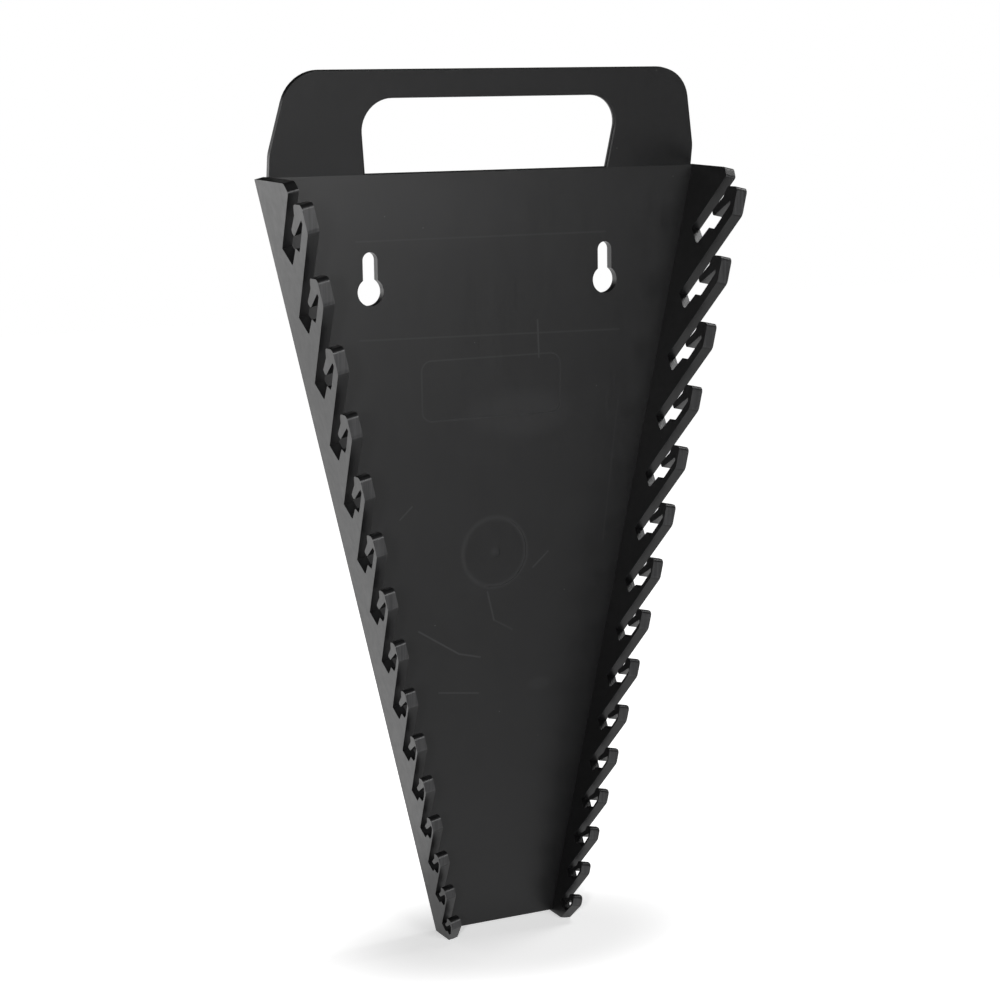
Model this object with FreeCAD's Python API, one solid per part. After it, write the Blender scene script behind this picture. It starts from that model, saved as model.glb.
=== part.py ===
import FreeCAD, Part
import math
import os

# Wrench rack: one moulding with a tapering back panel, a hand hole at the top
# and two side walls, each with a graded row of slanted slots and hooks.
# Millimetres. +Z is up, the hooks point to -Y, the flat back faces +Y.
# The zero point is the middle of the footprint, at floor height.

# overall sizes
TOTAL_HEIGHT = 414.5
HANDLE_RISE = 47.3         # height of the leaning handle above the upright panel
WALL_DROP = 0.6            # from the top of the panel down to the top of a side wall
PANEL_BOTTOM_Z = 1.4       # the panel stops just above the feet of the walls

# panel and side walls
PANEL_T = 4.2
WALL_T = 4.7               # thickness of a wall at the face of the panel
WALL_TAPER = 0.024         # how much thicker it gets for each millimetre forward
INNER_HALF_BOTTOM = 28.5   # from the middle to the inside of a wall at floor height
WALL_SLOPE = 0.2235        # outward run of a wall for each millimetre of height
WALL_BACK_R = 0.7
BACK_CORNER_R = 0.6        # ends of a wall where they meet the back
WALL_OVERLAP = 1.0         # how far one piece of the moulding runs into the next

# graded row of hooks, first value for the top slot and last for the bottom one
SLOTS = 15
FIRST_DROP = 30.3          # from the top of a wall to the inner corner of the top slot
LAST_CORNER_Z = 7.3        # height of the inner corner of the bottom slot
PITCH_RATIO = 0.463        # bottom pitch divided by top pitch, the rest lie between
CORNER_DEPTH = 10.8        # from the face of the panel to the inner corner of a slot
EVEN_SLOTS = 9             # slots that keep that depth, counted from the top
CORNER_SHIFT = 0.65        # how much each smaller slot reaches further back
TOP_REACH = 46.4           # from the face of the panel to the front of the top hook
BOTTOM_REACH = 19.5        # the same for the bottom hook

# outline of one slot and its gripping tongue, measured forward and up from the
# inner corner of the slot: ((forward, up) of the top slot, of the bottom slot).
# Forward is a share of the reach of the hook, up a share of the pitch there.
SLOT_END = ((0.171, -0.236), (0.152, -0.214))
TOOTH = ((0.359, 0.029), (0.242, -0.152))
NOTCH = ((0.435, -0.019), (0.347, -0.248))
RAMP = ((0.485, 0.048), (0.452, -0.166))
GAP_FRONT = ((0.690, 0.396), (0.571, 0.110))
GAP_TOP = ((0.671, 0.441), (0.545, 0.200))
TIP_LOW = ((0.402, 0.198), (0.273, 0.014))
TIP_HIGH = ((0.348, 0.268), (0.202, 0.069))
TONGUE_ROOT = ((0.524, 0.498), (0.384, 0.228))
SHOULDER = ((0.543, 0.572), (0.404, 0.297))
HOOK_TOP = ((0.573, 0.658), (0.429, 0.379))  # back of the flat top of the hook
UNDER_RISE = ((0, 0.259), (0, 0.083))  # where the front turns under

# corner radii of the same outline, top slot and bottom slot
SHARP = (0, 0)
SLOT_END_R = (1.4, 0.7)
TOOTH_R = (1.1, 0.5)
TIP_R = (1.5, 0.55)
TOP_BACK_R = (2.2, 1.2)
TOP_FRONT_R = (2.4, 2.2)
UNDER_R = (4.0, 3.0)

# plain arm above the top slot and foot below the bottom hook
ARM_REACH = 34.2
ARM_SAG = 0.9              # how far the top of the arm falls towards its nose
ARM_NOSE_DROP = 5.0        # from the top of a wall to the underside of the nose
ARM_TOP_R = 3.0
ARM_NOSE_R = 1.2
FOOT_REACH = 10.5
FOOT_DIP = 0.5             # what a level cut takes off the leaning underside of a foot

# handle plate, sizes up the plate start at the crease
HANDLE_T = 3.0
HANDLE_LEAN = 10.0         # degrees forward
HANDLE_HALF = 109.6
HANDLE_STRAIGHT = 10.0     # height of the upright part of each side edge
HANDLE_SIDE_SLOPE = 0.22
HANDLE_CORNER_R = 17.7
OPENING_HALF_BOTTOM = 62.5
OPENING_HALF_TOP = 67.0
OPENING_HEIGHT = 34.6
OPENING_CORNER_R = 14.0
OPENING_EDGE_R = 1.2
HANDLE_ROOT = 2.0          # how far the plate runs down inside the panel

# two keyholes for hanging
KEYHOLE_X = 61.4
KEYHOLE_DROP = 53.5        # from the top of the panel to the middle of the round hole
KEYHOLE_R = 6.5
KEYSLOT_HALF = 3.7
KEYSLOT_RISE = 18.3        # from the middle of the round hole to the top of its slot

# shallow mould marks on the face of the panel, measured down from its top
GATE_DROP = 181.3
GATE_R = 17.0
GATE_DEPTH = 0.25
DIMPLE_R = 3.0
DIMPLE_DEPTH = 0.4
PAD_HALF = 36.5
PAD_DROP = 87.3
PAD_HEIGHT = 28.5
PAD_R = 5.0
PAD_DEPTH = 0.2

# worked out from the sizes above
CREASE_Z = TOTAL_HEIGHT - HANDLE_RISE
WALL_TOP_Z = CREASE_Z - WALL_DROP
FIRST_CORNER_Z = WALL_TOP_Z - FIRST_DROP
KEYHOLE_Z = CREASE_Z - KEYHOLE_DROP
KEYSLOT_TOP_Z = KEYHOLE_Z + KEYSLOT_RISE
GATE_Z = CREASE_Z - GATE_DROP
PAD_TOP_Z = CREASE_Z - PAD_DROP
DEPTH = PANEL_T + TOP_REACH
BACK_Y = DEPTH / 2
FACE_Y = BACK_Y - PANEL_T
LEAN = math.radians(HANDLE_LEAN)
HANDLE_TOP = (HANDLE_RISE - HANDLE_T * math.sin(LEAN)) / math.cos(LEAN)
WALL_LEAN = math.atan(WALL_SLOPE)
SPARE = 5.0                # how far a cutting shape runs past what it cuts
TOUCH = 0.01               # two sizes nearer than this are the same
MAX_TRIM = 0.46            # share of an edge that the rounding of one corner may use


def graded(pair, slot):
    """Value for one slot between the top one and the bottom one."""
    return pair[0] + (pair[1] - pair[0]) * slot / (SLOTS - 1)


def rounded_corner(before, corner, after):
    """Start, middle and end of the arc that rounds one corner as far as it fits."""
    a, b, radius = corner
    if radius == 0:
        return (a, b), None, (a, b)
    back = math.hypot(before[0] - a, before[1] - b)
    ahead = math.hypot(after[0] - a, after[1] - b)
    ua, ub = (before[0] - a) / back, (before[1] - b) / back
    va, vb = (after[0] - a) / ahead, (after[1] - b) / ahead
    half = math.acos(ua * va + ub * vb) / 2
    trim = min(radius / math.tan(half), MAX_TRIM * back, MAX_TRIM * ahead)
    reach = trim / math.cos(half) - trim * math.tan(half)
    size = math.hypot(ua + va, ub + vb)
    start = (a + ua * trim, b + ub * trim)
    middle = (a + (ua + va) / size * reach, b + (ub + vb) / size * reach)
    end = (a + va * trim, b + vb * trim)
    return start, middle, end


def rounded_face(corners, place):
    """Flat face from (a, b, radius) corners, where a radius of 0 leaves the corner sharp."""
    count = len(corners)
    arcs = []
    for i in range(count):
        arcs.append(rounded_corner(corners[i - 1], corners[i], corners[(i + 1) % count]))
    edges = []
    for i in range(count):
        start, middle, end = arcs[i]
        if middle is not None:
            edges.append(Part.Arc(place(*start), place(*middle), place(*end)).toShape())
        next_start = arcs[(i + 1) % count][0]
        edges.append(Part.LineSegment(place(*end), place(*next_start)).toShape())
    return Part.Face(Part.Wire(edges))


def front_point(across, up):
    """Point on the face of the panel."""
    return FreeCAD.Vector(across, FACE_Y, up)


def inner_half(z):
    """Distance from the middle to the inside of a wall at one height."""
    return INNER_HALF_BOTTOM + WALL_SLOPE * z


def outer_half(z):
    """Distance from the middle to the outside of a wall at one height."""
    return inner_half(z) + WALL_T


def pitch(slot):
    """Height from one slot to the next one below it."""
    shares = [graded((1, PITCH_RATIO), i) for i in range(SLOTS)]
    return (FIRST_CORNER_Z - LAST_CORNER_Z) * shares[slot] / sum(shares[:-1])


def slot_corner(slot):
    """Forward distance and height of the inner corner of one slot."""
    drop = sum(pitch(i) for i in range(slot))
    smaller = max(0, slot - EVEN_SLOTS + 1)
    return CORNER_DEPTH - CORNER_SHIFT * smaller, FIRST_CORNER_Z - drop


def slot_point(share, slot):
    """Forward and up sizes in millimetres for one corner of the slot outline."""
    first, last = share
    forward = graded((first[0] * TOP_REACH, last[0] * BOTTOM_REACH), slot)
    up = graded((first[1] * pitch(0), last[1] * pitch(SLOTS - 1)), slot)
    return forward, up


def slot_outline(slot):
    """Corners of one slot, its tongue and the hook below it, from the back to the front."""
    forward, up = slot_corner(slot)
    corners = [(forward, up, 0)]
    inside = (
        (SLOT_END, SLOT_END_R),
        (TOOTH, TOOTH_R),
        (NOTCH, SHARP),
        (RAMP, SHARP),
        (GAP_FRONT, SHARP),
        (GAP_TOP, SHARP),
        (TIP_LOW, TIP_R),
        (TIP_HIGH, TIP_R),
        (TONGUE_ROOT, SHARP),
        (SHOULDER, SHARP),
    )
    for share, radius in inside:
        a, b = slot_point(share, slot)
        corners.append((forward + a, up + b, graded(radius, slot)))
    rise = slot_point(HOOK_TOP, slot)
    under = slot_point(UNDER_RISE, slot)
    front = graded((TOP_REACH, BOTTOM_REACH), slot)
    corners.append((forward + rise[0], up + rise[1], graded(TOP_BACK_R, slot)))
    corners.append((front, up + rise[1], graded(TOP_FRONT_R, slot)))
    corners.append((front, up + under[1], graded(UNDER_R, slot)))
    return corners


def wall_outline():
    """Side view of a wall: plain arm, the row of slots and hooks, and the foot."""
    corners = [
        (-PANEL_T, WALL_TOP_Z, BACK_CORNER_R),
        (0, WALL_TOP_Z, 0),
        (ARM_REACH - ARM_TOP_R, WALL_TOP_Z - ARM_SAG, ARM_TOP_R),
        (ARM_REACH, WALL_TOP_Z - ARM_NOSE_DROP, ARM_NOSE_R),
    ]
    for slot in range(SLOTS):
        corners += slot_outline(slot)
    corners.append((FOOT_REACH, -FOOT_DIP, 0))
    corners.append((-PANEL_T, -FOOT_DIP, 0))
    return corners


def side_wall(side):
    """One leaning wall with its slots cut square through it."""
    front = FACE_Y - TOP_REACH - SPARE
    inner_back = inner_half(0) + WALL_TAPER * PANEL_T
    inner_front = inner_half(0) - WALL_TAPER * (TOP_REACH + SPARE)
    rise = WALL_TOP_Z + SPARE
    slab = Part.Face(Part.makePolygon([
        FreeCAD.Vector(side * inner_back, BACK_Y, 0),
        FreeCAD.Vector(side * outer_half(0), BACK_Y, 0),
        FreeCAD.Vector(side * outer_half(0), front, 0),
        FreeCAD.Vector(side * inner_front, front, 0),
        FreeCAD.Vector(side * inner_back, BACK_Y, 0),
    ])).extrude(FreeCAD.Vector(side * WALL_SLOPE * rise, 0, rise))
    outer_back = []
    for edge in slab.Edges:
        ends = [v.Point for v in edge.Vertexes]
        on_back = all(abs(p.y - BACK_Y) < TOUCH for p in ends)
        rises = abs(ends[0].z - ends[1].z) > TOUCH
        outside = all(abs(p.x) > outer_half(p.z) - TOUCH for p in ends)
        if on_back and rises and outside:
            outer_back.append(edge)
    slab = slab.makeFillet(WALL_BACK_R, outer_back)

    inward = FreeCAD.Vector(-side * math.cos(WALL_LEAN), 0, math.sin(WALL_LEAN))

    def outside_face(forward, up):
        return FreeCAD.Vector(side * outer_half(up), FACE_Y - forward, up)

    profile = rounded_face(wall_outline(), outside_face)
    profile.translate(inward * -SPARE)
    thickest = WALL_T + WALL_TAPER * TOP_REACH
    return slab.common(profile.extrude(inward * (thickest + 2 * SPARE)))


def back_panel():
    """Flat tapering panel that runs to the middle of each wall."""
    low = inner_half(PANEL_BOTTOM_Z) + WALL_T / 2
    high = inner_half(CREASE_Z)
    shoulder = inner_half(WALL_TOP_Z) + WALL_T / 2
    points = [
        front_point(-low, PANEL_BOTTOM_Z),
        front_point(low, PANEL_BOTTOM_Z),
        front_point(shoulder, WALL_TOP_Z - WALL_OVERLAP),
        front_point(high, CREASE_Z),
        front_point(-high, CREASE_Z),
        front_point(-shoulder, WALL_TOP_Z - WALL_OVERLAP),
        front_point(-low, PANEL_BOTTOM_Z),
    ]
    return Part.Face(Part.makePolygon(points)).extrude(FreeCAD.Vector(0, PANEL_T, 0))


def handle_outline():
    """Outer corners of the handle plate before it leans, from its foot up."""
    side_top = HANDLE_HALF - HANDLE_SIDE_SLOPE * (HANDLE_TOP - HANDLE_STRAIGHT)
    half = [
        (HANDLE_HALF, -HANDLE_ROOT, 0),
        (HANDLE_HALF, HANDLE_STRAIGHT, HANDLE_CORNER_R),
        (side_top, HANDLE_TOP, HANDLE_CORNER_R),
    ]
    mirrored = [(-a, b, r) for a, b, r in reversed(half)]
    return half + mirrored


def opening_outline():
    """Corners of the hand hole, widest just under its big top corners."""
    half = [
        (OPENING_HALF_BOTTOM, 0, 0),
        (OPENING_HALF_TOP, OPENING_HEIGHT, OPENING_CORNER_R),
    ]
    mirrored = [(-a, b, r) for a, b, r in reversed(half)]
    return half + mirrored


def handle_plate():
    """Leaning plate with the hand hole, its edges rounded for the fingers."""
    def place(across, up):
        return FreeCAD.Vector(across, FACE_Y, CREASE_Z + up)

    through = FreeCAD.Vector(0, HANDLE_T, 0)
    plate = rounded_face(handle_outline(), place).extrude(through)
    hole = rounded_face(opening_outline(), place).extrude(through)
    plate = plate.cut(hole)
    grip_edges = []
    for edge in plate.Edges:
        box = edge.BoundBox
        across_plate = box.YLength > TOUCH
        at_foot = box.ZMax < CREASE_Z + TOUCH
        if across_plate or at_foot:
            continue
        in_opening = max(box.XMax, -box.XMin) < OPENING_HALF_TOP
        if in_opening and box.ZMax < CREASE_Z + OPENING_HEIGHT + TOUCH:
            grip_edges.append(edge)
    plate = plate.makeFillet(OPENING_EDGE_R, grip_edges)
    plate.rotate(FreeCAD.Vector(0, FACE_Y, CREASE_Z), FreeCAD.Vector(1, 0, 0), HANDLE_LEAN)
    return plate


def keyhole(x):
    """Round hole for a screw head with a narrow slot above it for the shank."""
    through = PANEL_T + 2 * SPARE
    back = FreeCAD.Vector(0, 1, 0)
    front = FACE_Y - SPARE
    slot_z = KEYSLOT_TOP_Z - KEYSLOT_HALF
    head = Part.makeCylinder(KEYHOLE_R, through, FreeCAD.Vector(x, front, KEYHOLE_Z), back)
    top = Part.makeCylinder(KEYSLOT_HALF, through, FreeCAD.Vector(x, front, slot_z), back)
    corner = FreeCAD.Vector(x - KEYSLOT_HALF, front, KEYHOLE_Z)
    shank = Part.makeBox(2 * KEYSLOT_HALF, through, slot_z - KEYHOLE_Z, corner)
    return head.fuse([top, shank])


def mould_marks():
    """Shallow round dish with its dimple, and a shallow flat with round corners."""
    back = FreeCAD.Vector(0, 1, 0)
    start = FreeCAD.Vector(0, FACE_Y - SPARE, GATE_Z)
    dish = Part.makeCylinder(GATE_R, SPARE + GATE_DEPTH, start, back)
    dimple = Part.makeCylinder(DIMPLE_R, SPARE + DIMPLE_DEPTH, start, back)
    corners = [
        (PAD_HALF, PAD_TOP_Z - PAD_HEIGHT, PAD_R),
        (PAD_HALF, PAD_TOP_Z, PAD_R),
        (-PAD_HALF, PAD_TOP_Z, PAD_R),
        (-PAD_HALF, PAD_TOP_Z - PAD_HEIGHT, PAD_R),
    ]
    pad = rounded_face(corners, front_point).extrude(FreeCAD.Vector(0, PAD_DEPTH, 0))
    return [dish, dimple, pad]


def rack_body():
    """The whole moulding."""
    body = back_panel().fuse([handle_plate(), side_wall(-1), side_wall(1)])
    body = body.cut([keyhole(-KEYHOLE_X), keyhole(KEYHOLE_X)] + mould_marks())
    body = body.removeSplitter()
    return body.Solids[0] if len(body.Solids) == 1 else body


os.makedirs("parts", exist_ok=True)
body = rack_body()
print("solids", len(body.Solids), "valid", body.isValid(), "volume", round(body.Volume))
box = body.BoundBox
print("box", [round(v, 2) for v in (box.XMin, box.XMax, box.YMin, box.YMax, box.ZMin, box.ZMax)])
body.exportStep("parts/rack_body.step")
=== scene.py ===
import bmesh
import bpy
from math import radians
from mathutils import Matrix, Vector


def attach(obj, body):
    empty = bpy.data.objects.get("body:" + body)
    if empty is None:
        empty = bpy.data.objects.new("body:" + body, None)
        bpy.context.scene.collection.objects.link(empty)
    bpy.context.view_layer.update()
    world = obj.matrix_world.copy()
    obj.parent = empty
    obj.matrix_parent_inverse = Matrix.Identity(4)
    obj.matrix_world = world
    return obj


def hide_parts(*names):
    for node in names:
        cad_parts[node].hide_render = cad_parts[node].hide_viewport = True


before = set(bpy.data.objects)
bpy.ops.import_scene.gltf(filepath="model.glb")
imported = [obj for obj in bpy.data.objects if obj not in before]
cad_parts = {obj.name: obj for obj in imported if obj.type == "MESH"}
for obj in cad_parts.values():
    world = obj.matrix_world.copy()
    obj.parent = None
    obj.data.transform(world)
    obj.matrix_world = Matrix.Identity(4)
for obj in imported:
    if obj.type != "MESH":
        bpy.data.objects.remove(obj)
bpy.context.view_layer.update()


# The rack: one injection moulding in black polypropylene, with the panel, the
# handle plate, both side walls, their hooks and the thin gripping tongues all
# in one piece. Every edge comes out of the mould with a small round on it, and
# the handle plate leans forward from the panel in a soft bend.

EDGE_ROUND = 0.00035
EDGE_STEPS = 2
BEND_Z = 0.3672
BEND_MARGIN = 0.001
BEND_ROUND = 0.002
BEND_STEPS = 4
SHARP_ANGLE = radians(32)
FLAT_ANGLE = radians(0.6)
WELD = 0.00001

cad_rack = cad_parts["rack_body"]
bm = bmesh.new()
bm.from_mesh(cad_rack.data)
bm.transform(cad_rack.matrix_world)
bmesh.ops.remove_doubles(bm, verts=bm.verts, dist=WELD)
bmesh.ops.dissolve_limit(
    bm, angle_limit=FLAT_ANGLE, verts=bm.verts, edges=bm.edges, use_dissolve_boundaries=False
)
bend = [
    e for e in bm.edges
    if e.is_manifold and FLAT_ANGLE < e.calc_face_angle() < SHARP_ANGLE
    and all(abs(v.co.z - BEND_Z) < BEND_MARGIN for v in e.verts)
]
bmesh.ops.bevel(
    bm, geom=bend, offset=BEND_ROUND, offset_type="OFFSET", affect="EDGES",
    segments=BEND_STEPS, profile=0.5, material=-1, clamp_overlap=True,
)
sharp = [e for e in bm.edges if e.is_manifold and e.calc_face_angle() > SHARP_ANGLE]
bmesh.ops.bevel(
    bm, geom=sharp, offset=EDGE_ROUND, offset_type="OFFSET", affect="EDGES",
    segments=EDGE_STEPS, profile=0.5, material=-1, clamp_overlap=True,
)
rack_mesh = bpy.data.meshes.new("rack_body_dressed")
bm.to_mesh(rack_mesh)
bm.free()
rack_mesh.shade_smooth()
rack_mesh.set_sharp_from_angle(angle=SHARP_ANGLE)
rack = bpy.data.objects.new("rack_body_dressed", rack_mesh)
bpy.context.scene.collection.objects.link(rack)
flat_faces = rack.modifiers.new("flat_faces_stay_flat", "WEIGHTED_NORMAL")
flat_faces.keep_sharp = True

# Its surface: polypropylene from a fine-sparked mould, which gives the eye a
# low satin sheen, a little uneven where the plastic flowed. The fine grain of
# such a mould is too small to show and is drawn coarser here.

RACK_BLACK = "#0c0c0d"
RACK_CLOUD = "#101011"
CLOUD_SIZE = 0.030
CLOUD_RANGE = (0.35, 0.7)
FLOW_SIZE = 0.006
FLOW_STRETCH = (1.0, 1.0, 0.12)
FLOW_RANGE = (0.3, 0.7)
DRAG_SIZE = 0.0009
DRAG_STRETCH = (1.0, 0.3, 0.03)
DRAG_DEPTH = 0.06
COARSE = {"Detail": 4.0, "Roughness": 0.6}
FINE = {"Detail": 2.0, "Roughness": 0.5}
GRAIN_SIZE = 0.0006
GRAIN_HEIGHT = 0.00008
GRAIN_STRENGTH = 0.12
SHEEN_LOW = 0.375
SHEEN_HIGH = 0.4
PLASTIC_IOR = 1.49

# What it has gone through: specks of dust all over, and scratches and smudges on the panel. The
# forward faces of the hooks are painted a lighter grey in short streaks, a painted sheen. The
# core and edge of a speck are shares of their spacing.

DUST_GREY = "#6a6a6a"
DUST_SPACING = 0.011
DUST_CORE = 0.015
DUST_EDGE = 0.035
DUST_STRENGTH = 0.35
# Painted sheen on the forward faces of the hooks: its lighter grey, the least of it that shows,
# and the range of the streak pattern over which it grows.
HOOK_FRONT_PAINTED_SHEEN_GREY = "#363637"
PAINTED_SHEEN_LEAST = 0.45
PAINTED_SHEEN_RANGE = (0.35, 0.65)
HOOK_Y = (0.017, 0.019)
HOOK_TOP_Z = 0.3652
FACING_FRONT = -0.9
SCUFF_GREY = "#2a2a2b"
LINE_CORE = 0.0001
LINE_WIDTH = 0.0007
SCRATCHES = (
    ((-0.0681, 0.3370), (0.0620, 0.3367), 0.45),
    ((-0.0674, 0.2916), (0.0691, 0.2893), 0.45),
    ((0.0247, 0.2961), (0.0252, 0.2784), 0.8),
    ((-0.0041, 0.1667), (-0.0009, 0.1526), 0.8),
    ((-0.0009, 0.1526), (0.0088, 0.1470), 0.5),
    ((0.0206, 0.1764), (0.0289, 0.1835), 0.8),
    ((-0.0407, 0.1513), (-0.0198, 0.1380), 1.0),
    ((-0.0198, 0.1380), (-0.0087, 0.1352), 1.0),
    ((-0.0308, 0.1202), (-0.0101, 0.1175), 0.8),
    ((-0.0492, 0.2062), (-0.0429, 0.2118), 0.8),
    ((0.0594, 0.1859), (0.0683, 0.2546), 0.25),
)
SMUDGES = (
    ((0.0231, 0.1182), (0.0080, 0.0045), 0.245),
    ((0.0150, 0.2520), (0.0340, 0.0150), 0.315),
    ((-0.0300, 0.3480), (0.0600, 0.0200), 0.105),
)
SMUDGE_CORE = 0.4

# What the mould left on the panel: the pale rim and the smoother disc of the
# gate with its nub in the middle, and the rim of a shallow flat.

PANEL_FACE_Y = 0.02135
PANEL_FACE_MARGIN = 0.00085
GATE_PLACE = (0.0, 0.0, 0.1859)
GATE_R = 0.0168
GATE_RIM_WIDTH = 0.0021
GATE_NUB_R = 0.003
GATE_DISC = (0.01176, 0.021)
GATE_POLISH = 0.035
PAD_PLACE = (0.0, 0.0, 0.2657)
PAD_STRAIGHT = (0.0315, 0.0, 0.0093)
PAD_R = 0.005
MOULD_STRENGTH = 0.5


def linear(hex_colour):
    """An sRGB hex colour as the linear red, green, blue and alpha that a socket takes."""
    out = []
    for i in (1, 3, 5):
        c = int(hex_colour[i:i + 2], 16) / 255
        out.append(c / 12.92 if c <= 0.04045 else ((c + 0.055) / 1.055) ** 2.4)
    return (*out, 1.0)


def add_node(tree, kind, links=None, out=None, **settings):
    """A node of that kind, or the output of it that out names, with its settings.

    links maps a socket to a value, or to the output that feeds it.
    """
    node = tree.nodes.new(kind)
    for name, value in settings.items():
        setattr(node, name, value)
    for name, value in (links or {}).items():
        if isinstance(value, bpy.types.NodeSocket):
            tree.links.new(value, node.inputs[name])
        else:
            node.inputs[name].default_value = value
    return node.outputs[out] if out else node


def draw_mark(tree, marks, distance, core, edge, strength):
    """The marks so far and one more, at its strength up to core and gone at edge."""
    mark = add_node(tree, "ShaderNodeMapRange", {
        "Value": distance, "From Min": core, "From Max": edge, "To Min": strength, "To Max": 0.0,
    }, "Result", interpolation_type="SMOOTHSTEP")
    return add_node(tree, "ShaderNodeMath", {0: marks, 1: mark}, "Value", operation="MAXIMUM")


def draw_rim(tree, marks, distance, radius, core, edge):
    """The marks so far and the rim that the mould left at that distance from a middle."""
    past = add_node(tree, "ShaderNodeMath", {
        0: distance, 1: radius,
    }, "Value", operation="SUBTRACT")
    off_rim = add_node(tree, "ShaderNodeMath", {0: past}, "Value", operation="ABSOLUTE")
    return draw_mark(tree, marks, off_rim, core, edge, MOULD_STRENGTH)


def panel_marks(tree, place):
    """How strongly the marks on the face of the panel show, and how far the gate's disc does."""
    split = add_node(tree, "ShaderNodeSeparateXYZ", {"Vector": place}).outputs
    flat = add_node(tree, "ShaderNodeCombineXYZ", {"X": split["X"], "Z": split["Z"]}, "Vector")

    from_gate = add_node(tree, "ShaderNodeVectorMath", {
        0: flat, 1: GATE_PLACE,
    }, "Value", operation="DISTANCE")
    marks = draw_rim(tree, 0.0, from_gate, GATE_R, 0.0, GATE_RIM_WIDTH)
    marks = draw_mark(tree, marks, from_gate, 0.0, GATE_NUB_R, MOULD_STRENGTH)

    across = add_node(tree, "ShaderNodeVectorMath", {
        0: flat, 1: PAD_PLACE,
    }, "Vector", operation="SUBTRACT")
    across = add_node(tree, "ShaderNodeVectorMath", {0: across}, "Vector", operation="ABSOLUTE")
    beyond = add_node(tree, "ShaderNodeVectorMath", {
        0: across, 1: PAD_STRAIGHT,
    }, "Vector", operation="SUBTRACT")
    beyond = add_node(tree, "ShaderNodeVectorMath", {0: beyond}, "Vector", operation="MAXIMUM")
    from_pad = add_node(tree, "ShaderNodeVectorMath", {0: beyond}, "Value", operation="LENGTH")
    marks = draw_rim(tree, marks, from_pad, PAD_R, LINE_CORE, LINE_WIDTH)

    for (x0, z0), (x1, z1), strength in SCRATCHES:
        stroke = Vector((x1 - x0, 0.0, z1 - z0))
        start = add_node(tree, "ShaderNodeVectorMath", {
            0: flat, 1: (x0, 0.0, z0),
        }, "Vector", operation="SUBTRACT")
        share = add_node(tree, "ShaderNodeVectorMath", {
            0: start, 1: stroke / stroke.length_squared,
        }, "Value", operation="DOT_PRODUCT")
        share = add_node(tree, "ShaderNodeClamp", {"Value": share}, "Result")
        nearest = add_node(tree, "ShaderNodeVectorMath", {
            0: stroke, "Scale": share,
        }, "Vector", operation="SCALE")
        off_line = add_node(tree, "ShaderNodeVectorMath", {
            0: start, 1: nearest,
        }, "Value", operation="DISTANCE")
        marks = draw_mark(tree, marks, off_line, LINE_CORE, LINE_WIDTH, strength)

    for (x, z), (half_x, half_z), strength in SMUDGES:
        across = add_node(tree, "ShaderNodeVectorMath", {
            0: flat, 1: (x, 0.0, z),
        }, "Vector", operation="SUBTRACT")
        across = add_node(tree, "ShaderNodeVectorMath", {
            0: across, 1: (1 / half_x, 0.0, 1 / half_z),
        }, "Vector", operation="MULTIPLY")
        off_middle = add_node(tree, "ShaderNodeVectorMath", {
            0: across,
        }, "Value", operation="LENGTH")
        marks = draw_mark(tree, marks, off_middle, SMUDGE_CORE, 1.0, strength)

    on_face = add_node(tree, "ShaderNodeMath", {
        0: split["Y"], 1: PANEL_FACE_Y, 2: PANEL_FACE_MARGIN,
    }, "Value", operation="COMPARE")
    disc = draw_mark(tree, 0.0, from_gate, *GATE_DISC, 1.0)
    return [
        add_node(tree, "ShaderNodeMath", {0: shown, 1: on_face}, "Value", operation="MULTIPLY")
        for shown in (marks, disc)
    ]


def hook_front_painted_sheen(tree, place, drag):
    """How far the forward faces of the hooks are painted lighter in short strokes, a painted
    sheen.
    """
    split = add_node(tree, "ShaderNodeSeparateXYZ", {"Vector": place}).outputs
    normal = add_node(tree, "ShaderNodeNewGeometry", out="True Normal")
    facing = add_node(tree, "ShaderNodeSeparateXYZ", {"Vector": normal}, "Y")
    sheen_share = add_node(tree, "ShaderNodeMapRange", {
        "Value": drag, "From Min": PAINTED_SHEEN_RANGE[0], "From Max": PAINTED_SHEEN_RANGE[1],
        "To Min": PAINTED_SHEEN_LEAST, "To Max": 1.0,
    }, "Result")
    forward = add_node(tree, "ShaderNodeMath", {
        0: facing, 1: FACING_FRONT,
    }, "Value", operation="LESS_THAN")
    below_handle = add_node(tree, "ShaderNodeMath", {
        0: split["Z"], 1: HOOK_TOP_Z,
    }, "Value", operation="LESS_THAN")
    before_panel = draw_mark(tree, 0.0, split["Y"], *HOOK_Y, 1.0)
    for where in (forward, below_handle, before_panel):
        sheen_share = add_node(tree, "ShaderNodeMath", {
            0: sheen_share, 1: where,
        }, "Value", operation="MULTIPLY")
    return sheen_share


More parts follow.
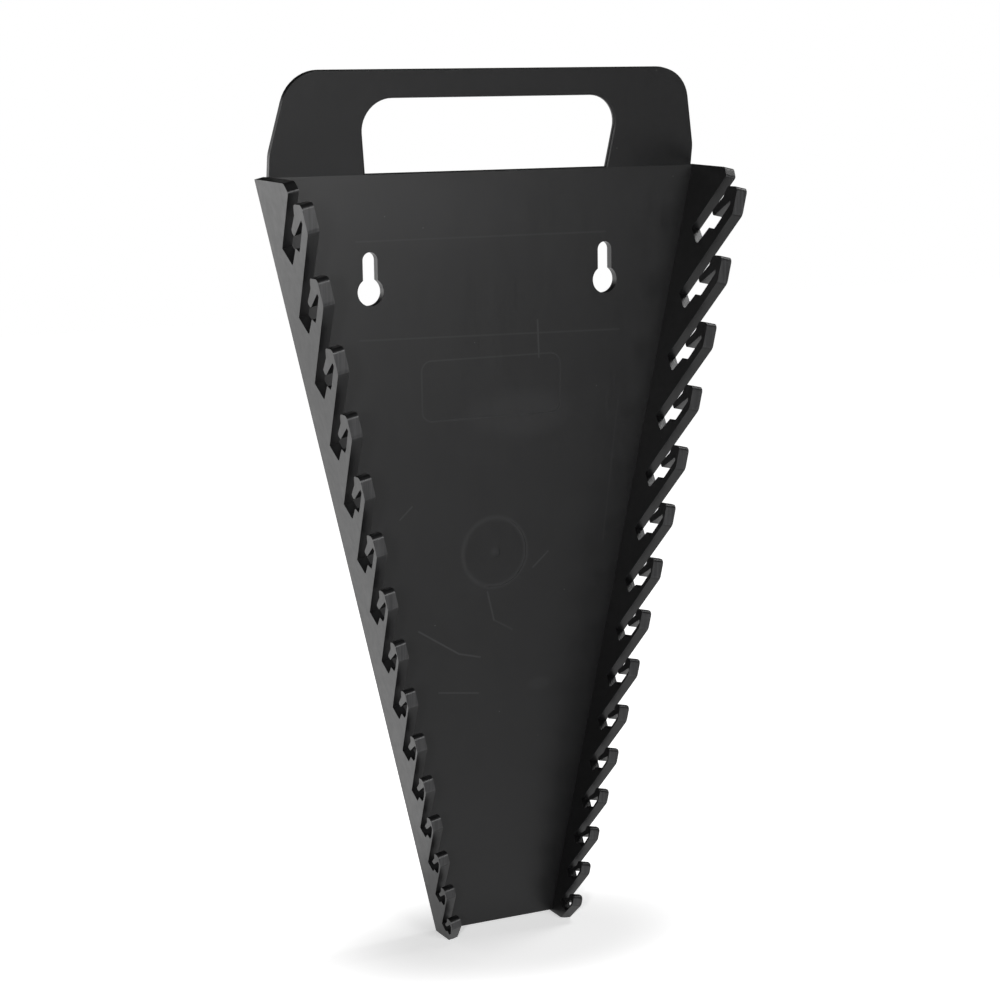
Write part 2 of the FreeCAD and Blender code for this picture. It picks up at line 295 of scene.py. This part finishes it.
def moulded_polypropylene():
    """Black polypropylene from a fine-sparked mould, with its flow marks, marks on the panel and
    dust, and a painted sheen on the fronts of the hooks.
    """
    mat = bpy.data.materials.new("moulded_polypropylene_black")
    mat.use_nodes = True
    tree = mat.node_tree
    tree.nodes.clear()
    place = add_node(tree, "ShaderNodeTexCoord", out="Object")

    cloud = add_node(tree, "ShaderNodeTexNoise", {
        "Vector": place, "Scale": 1 / CLOUD_SIZE, **COARSE,
    }, "Fac")
    cloud = add_node(tree, "ShaderNodeMapRange", {
        "Value": cloud, "From Min": CLOUD_RANGE[0], "From Max": CLOUD_RANGE[1],
    }, "Result")
    stretched = add_node(tree, "ShaderNodeMapping", {
        "Vector": place, "Scale": FLOW_STRETCH,
    }, "Vector")
    flow = add_node(tree, "ShaderNodeTexNoise", {
        "Vector": stretched, "Scale": 1 / FLOW_SIZE, **COARSE,
    }, "Fac")
    stretched = add_node(tree, "ShaderNodeMapping", {
        "Vector": place, "Scale": DRAG_STRETCH,
    }, "Vector")
    drag = add_node(tree, "ShaderNodeTexNoise", {
        "Vector": stretched, "Scale": 1 / DRAG_SIZE, **FINE,
    }, "Fac")
    grain = add_node(tree, "ShaderNodeTexNoise", {
        "Vector": place, "Scale": 1 / GRAIN_SIZE, **FINE,
    }, "Fac")
    from_speck = add_node(tree, "ShaderNodeTexVoronoi", {
        "Vector": place, "Scale": 1 / DUST_SPACING, "Randomness": 1.0,
    }, "Distance")
    dust = draw_mark(tree, 0.0, from_speck, DUST_CORE, DUST_EDGE, DUST_STRENGTH)
    marks, disc = panel_marks(tree, place)
    # The pale hook fronts are a painted sheen.
    hook_painted_sheen = hook_front_painted_sheen(tree, place, drag)

    colour = linear(RACK_BLACK)
    for share, over in (
        (cloud, RACK_CLOUD), (marks, SCUFF_GREY), (hook_painted_sheen, HOOK_FRONT_PAINTED_SHEEN_GREY), (dust, DUST_GREY),
    ):
        colour = add_node(tree, "ShaderNodeMix", {
            "Factor": share, "A": colour, "B": linear(over),
        }, "Result", data_type="RGBA")

    sheen = add_node(tree, "ShaderNodeMapRange", {
        "Value": flow, "From Min": FLOW_RANGE[0], "From Max": FLOW_RANGE[1],
        "To Min": SHEEN_LOW, "To Max": SHEEN_HIGH,
    }, "Result")
    dragged = add_node(tree, "ShaderNodeMapRange", {
        "Value": drag, "To Min": -DRAG_DEPTH, "To Max": DRAG_DEPTH,
    }, "Result")
    sheen = add_node(tree, "ShaderNodeMath", {0: sheen, 1: dragged}, "Value", operation="ADD")
    sheen = add_node(tree, "ShaderNodeMath", {
        0: disc, 1: -GATE_POLISH, 2: sheen,
    }, "Value", operation="MULTIPLY_ADD")
    bump = add_node(tree, "ShaderNodeBump", {
        "Height": grain, "Strength": GRAIN_STRENGTH, "Distance": GRAIN_HEIGHT,
    }, "Normal")
    plastic = add_node(tree, "ShaderNodeBsdfPrincipled", {
        "Base Color": colour, "Roughness": sheen, "IOR": PLASTIC_IOR, "Normal": bump,
    }, "BSDF")
    add_node(tree, "ShaderNodeOutputMaterial", {"Surface": plastic})
    return mat


rack_mesh.materials.append(moulded_polypropylene())
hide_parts("rack_body")
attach(rack, "root")


# The table: white laminate that runs on into a white backdrop behind the rack. To the camera its
# glow is dimmed in an oval round the foot of the rack, a painted shadow that the real shadow
# falls on, and near the rack it also glows in reflections only, a painted reflection.

TABLE_HALF = 3.0
TABLE_WHITE = "#f2f2f2"
BACKDROP_WHITE = "#ffffff"
SHADOW_SHAPE = (0.67, 1.0, 0.0)
SHADOW_CORE = 0.03
SHADOW_EDGE = 0.10
PAINTED_SHADOW_GLOW = 0.46
# Painted reflection: how strongly the table near the rack glows in reflections only, and where
# that glow starts to fade and is gone.
PAINTED_REFLECTION_GLOW = 0.35
PAINTED_REFLECTION_CORE = 0.09
PAINTED_REFLECTION_EDGE = 0.38
BACKDROP_NEAR = 0.02
BACKDROP_FAR = 0.15

floor_bm = bmesh.new()
bmesh.ops.create_grid(floor_bm, x_segments=1, y_segments=1, size=TABLE_HALF)
floor_mesh = bpy.data.meshes.new("white_table")
floor_bm.to_mesh(floor_mesh)
floor_bm.free()
floor = bpy.data.objects.new("white_table", floor_mesh)
bpy.context.scene.collection.objects.link(floor)

table = bpy.data.materials.new("white_laminate")
table.use_nodes = True
tree = table.node_tree
tree.nodes.clear()
place = add_node(tree, "ShaderNodeTexCoord", out="Object")
spread = add_node(tree, "ShaderNodeVectorMath", {
    0: place, 1: SHADOW_SHAPE,
}, "Vector", operation="MULTIPLY")
away = add_node(tree, "ShaderNodeVectorMath", {0: spread}, "Value", operation="LENGTH")
behind = add_node(tree, "ShaderNodeSeparateXYZ", {"Vector": place}, "Y")
path = add_node(tree, "ShaderNodeLightPath").outputs
mirrored = add_node(tree, "ShaderNodeMath", {
    0: path["Is Glossy Ray"], 1: path["Is Transmission Ray"],
}, "Value", operation="MAXIMUM")
# Painted shadow: the glow that the camera sees is dimmed in an oval round the foot of the rack.
backdrop_with_painted_shadow = add_node(tree, "ShaderNodeMapRange", {
    "Value": away, "From Min": SHADOW_CORE, "From Max": SHADOW_EDGE,
    "To Min": PAINTED_SHADOW_GLOW, "To Max": 1.0,
}, "Result", interpolation_type="SMOOTHSTEP")
seen = add_node(tree, "ShaderNodeMath", {
    0: path["Is Camera Ray"], 1: backdrop_with_painted_shadow,
}, "Value", operation="MULTIPLY")
backdrop_and_painted_reflection = add_node(tree, "ShaderNodeMapRange", {
    "Value": behind, "From Min": BACKDROP_NEAR, "From Max": BACKDROP_FAR,
}, "Result", interpolation_type="SMOOTHSTEP")
# Painted reflection: near the rack the table also glows, but only in reflections.
backdrop_and_painted_reflection = draw_mark(tree, backdrop_and_painted_reflection, away, PAINTED_REFLECTION_CORE, PAINTED_REFLECTION_EDGE, PAINTED_REFLECTION_GLOW)
mirrored = add_node(tree, "ShaderNodeMath", {
    0: mirrored, 1: backdrop_and_painted_reflection,
}, "Value", operation="MULTIPLY")
strength = add_node(tree, "ShaderNodeMath", {
    0: seen, 1: mirrored,
}, "Value", operation="MAXIMUM")
laminate = add_node(tree, "ShaderNodeBsdfDiffuse", {
    "Color": linear(TABLE_WHITE), "Roughness": 0.0,
}, "BSDF")
backdrop = add_node(tree, "ShaderNodeEmission", {
    "Color": linear(BACKDROP_WHITE), "Strength": strength,
}, "Emission")
both = add_node(tree, "ShaderNodeAddShader", {0: laminate, 1: backdrop}, "Shader")
add_node(tree, "ShaderNodeOutputMaterial", {"Surface": both})
floor_mesh.materials.append(table)


# The studio round the table: a dim room with a low white backdrop behind.

ROOM_LEVEL = 0.03
BACKDROP_TOP = 0.06

world = bpy.data.worlds.new("white_studio")
bpy.context.scene.world = world
world.use_nodes = True
tree = world.node_tree
tree.nodes.clear()
way = add_node(tree, "ShaderNodeTexCoord", out="Generated")
way = add_node(tree, "ShaderNodeSeparateXYZ", {"Vector": way}).outputs
path = add_node(tree, "ShaderNodeLightPath").outputs
mirrored = add_node(tree, "ShaderNodeMath", {
    0: path["Is Glossy Ray"], 1: path["Is Transmission Ray"],
}, "Value", operation="MAXIMUM")
low_down = add_node(tree, "ShaderNodeMath", {
    0: way["Z"], 1: BACKDROP_TOP,
}, "Value", operation="LESS_THAN")
at_back = add_node(tree, "ShaderNodeMath", {
    0: way["Y"], 1: 0.0,
}, "Value", operation="GREATER_THAN")
for where in (low_down, at_back):
    mirrored = add_node(tree, "ShaderNodeMath", {
        0: mirrored, 1: where,
    }, "Value", operation="MULTIPLY")
shown = add_node(tree, "ShaderNodeMath", {
    0: path["Is Camera Ray"], 1: mirrored,
}, "Value", operation="MAXIMUM")
room = add_node(tree, "ShaderNodeBackground", {
    "Color": linear(BACKDROP_WHITE), "Strength": ROOM_LEVEL,
}, "Background")
backdrop = add_node(tree, "ShaderNodeBackground", {
    "Color": linear(BACKDROP_WHITE), "Strength": 1.0,
}, "Background")
studio = add_node(tree, "ShaderNodeMixShader", {"Fac": shown, 1: room, 2: backdrop}, "Shader")
add_node(tree, "ShaderNodeOutputWorld", {"Surface": studio})


# The lamps: a small key lamp at the front left, soft boxes in front of the rack
# and to its right, and a white panel at the back left. Each has its place, the
# point that it faces, its width and height, and its watts.

LAMPS = {
    "key_lamp": ((-0.69, -1.04, 0.42), (0.0, 0.0, 0.3), (0.08, 0.08), 6.8),
    "front_low_box": ((0.139, -1.594, 0.5), (0.0, 0.0, 0.25), (0.4, 0.3), 3.0),
    "front_box": ((0.139, -1.594, 0.7), (0.0, 0.0, 0.25), (0.4, 0.3), 3.9),
    "front_right_box": ((0.441, -1.538, 0.7), (0.0, 0.0, 0.25), (0.4, 0.3), 3.6),
    "right_box": ((0.9, 0.0, 1.3), (0.0, 0.0, 0.15), (0.4, 0.4), 4.5),
    "back_left_box": ((-0.5, 0.9, 0.35), (-0.1, 0.0, 0.2), (0.5, 0.5), 0.7),
}

for name, (place, aim, size, watts) in LAMPS.items():
    lamp = bpy.data.lights.new(name, "AREA")
    lamp.shape = "RECTANGLE"
    lamp.size, lamp.size_y = size
    lamp.energy = watts
    lamp_object = bpy.data.objects.new(name, lamp)
    bpy.context.scene.collection.objects.link(lamp_object)
    turn = (Vector(place) - Vector(aim)).to_track_quat("Z", "Y")
    lamp_object.matrix_world = Matrix.Translation(place) @ turn.to_matrix().to_4x4()
    lamp_object.visible_camera = False


# The camera: to the left of the rack, a metre or so in front of it and level
# with its top, and it looks a little down.

LENS = 84.85
SENSOR_WIDTH = 36
CAMERA_PLACE = (-0.49047, -0.9754, 0.40437)
CAMERA_YAW = radians(26.359)
CAMERA_PITCH = radians(9.866)
CAMERA_ROLL = radians(0.837)

camera_data = bpy.data.cameras.new("photo_camera")
camera_data.sensor_width = SENSOR_WIDTH
camera_data.lens = LENS
camera = bpy.data.objects.new("photo_camera", camera_data)
bpy.context.scene.collection.objects.link(camera)
camera.matrix_world = (
    Matrix.Translation(CAMERA_PLACE)
    @ Matrix.Rotation(-CAMERA_YAW, 4, "Z")
    @ Matrix.Rotation(radians(90) - CAMERA_PITCH, 4, "X")
    @ Matrix.Rotation(-CAMERA_ROLL, 4, "Z")
)
bpy.context.scene.camera = camera
bpy.context.scene.view_settings.view_transform = "Standard"
